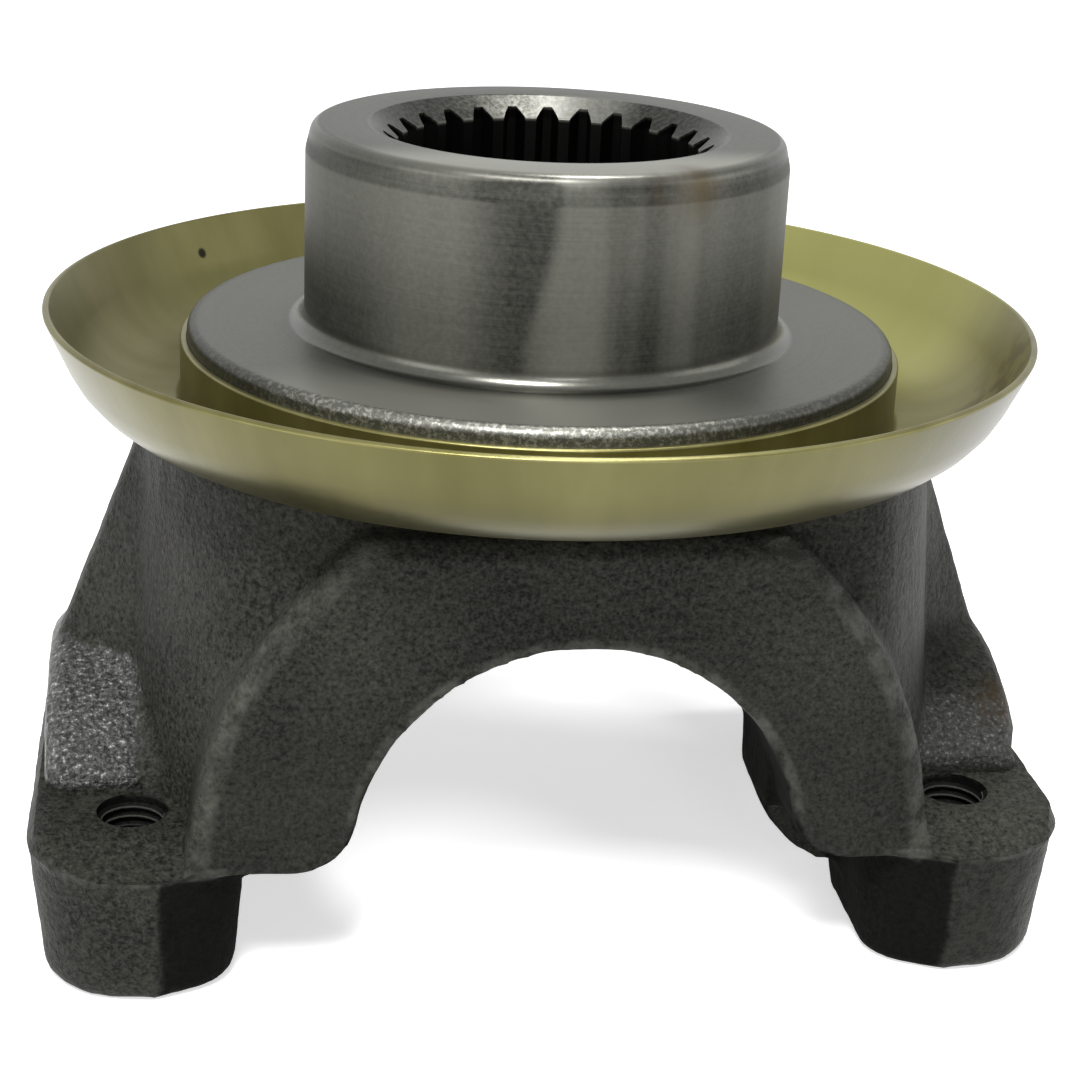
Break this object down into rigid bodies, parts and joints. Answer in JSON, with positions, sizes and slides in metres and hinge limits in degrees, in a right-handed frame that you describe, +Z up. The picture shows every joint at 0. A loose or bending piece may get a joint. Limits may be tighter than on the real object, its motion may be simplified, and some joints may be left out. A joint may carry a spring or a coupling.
{
  "type": "pinion end yoke",
  "caption": "Forged end yoke for an axle pinion: splined hub, strap-type saddles for a universal joint, and a pressed-on dust slinger.",
  "frame": {"origin": "centre of the universal joint: on the hub's axis, in the plane of the four feet", "axes": "+X along the bearing saddles, +Z up along the hub's axis, Y across the yoke"},
  "size_m": [0.0936, 0.0912, 0.072],
  "materials": {
    "forged_steel": "as forged, with a machined hub and shoulder",
    "zinc_plated_sheet": "satin yellow zinc plating"
  },
  "bodies": {
    "root": {"yoke": "forged_steel", "dust_slinger": "zinc_plated_sheet"}
  },
  "joints": []
}
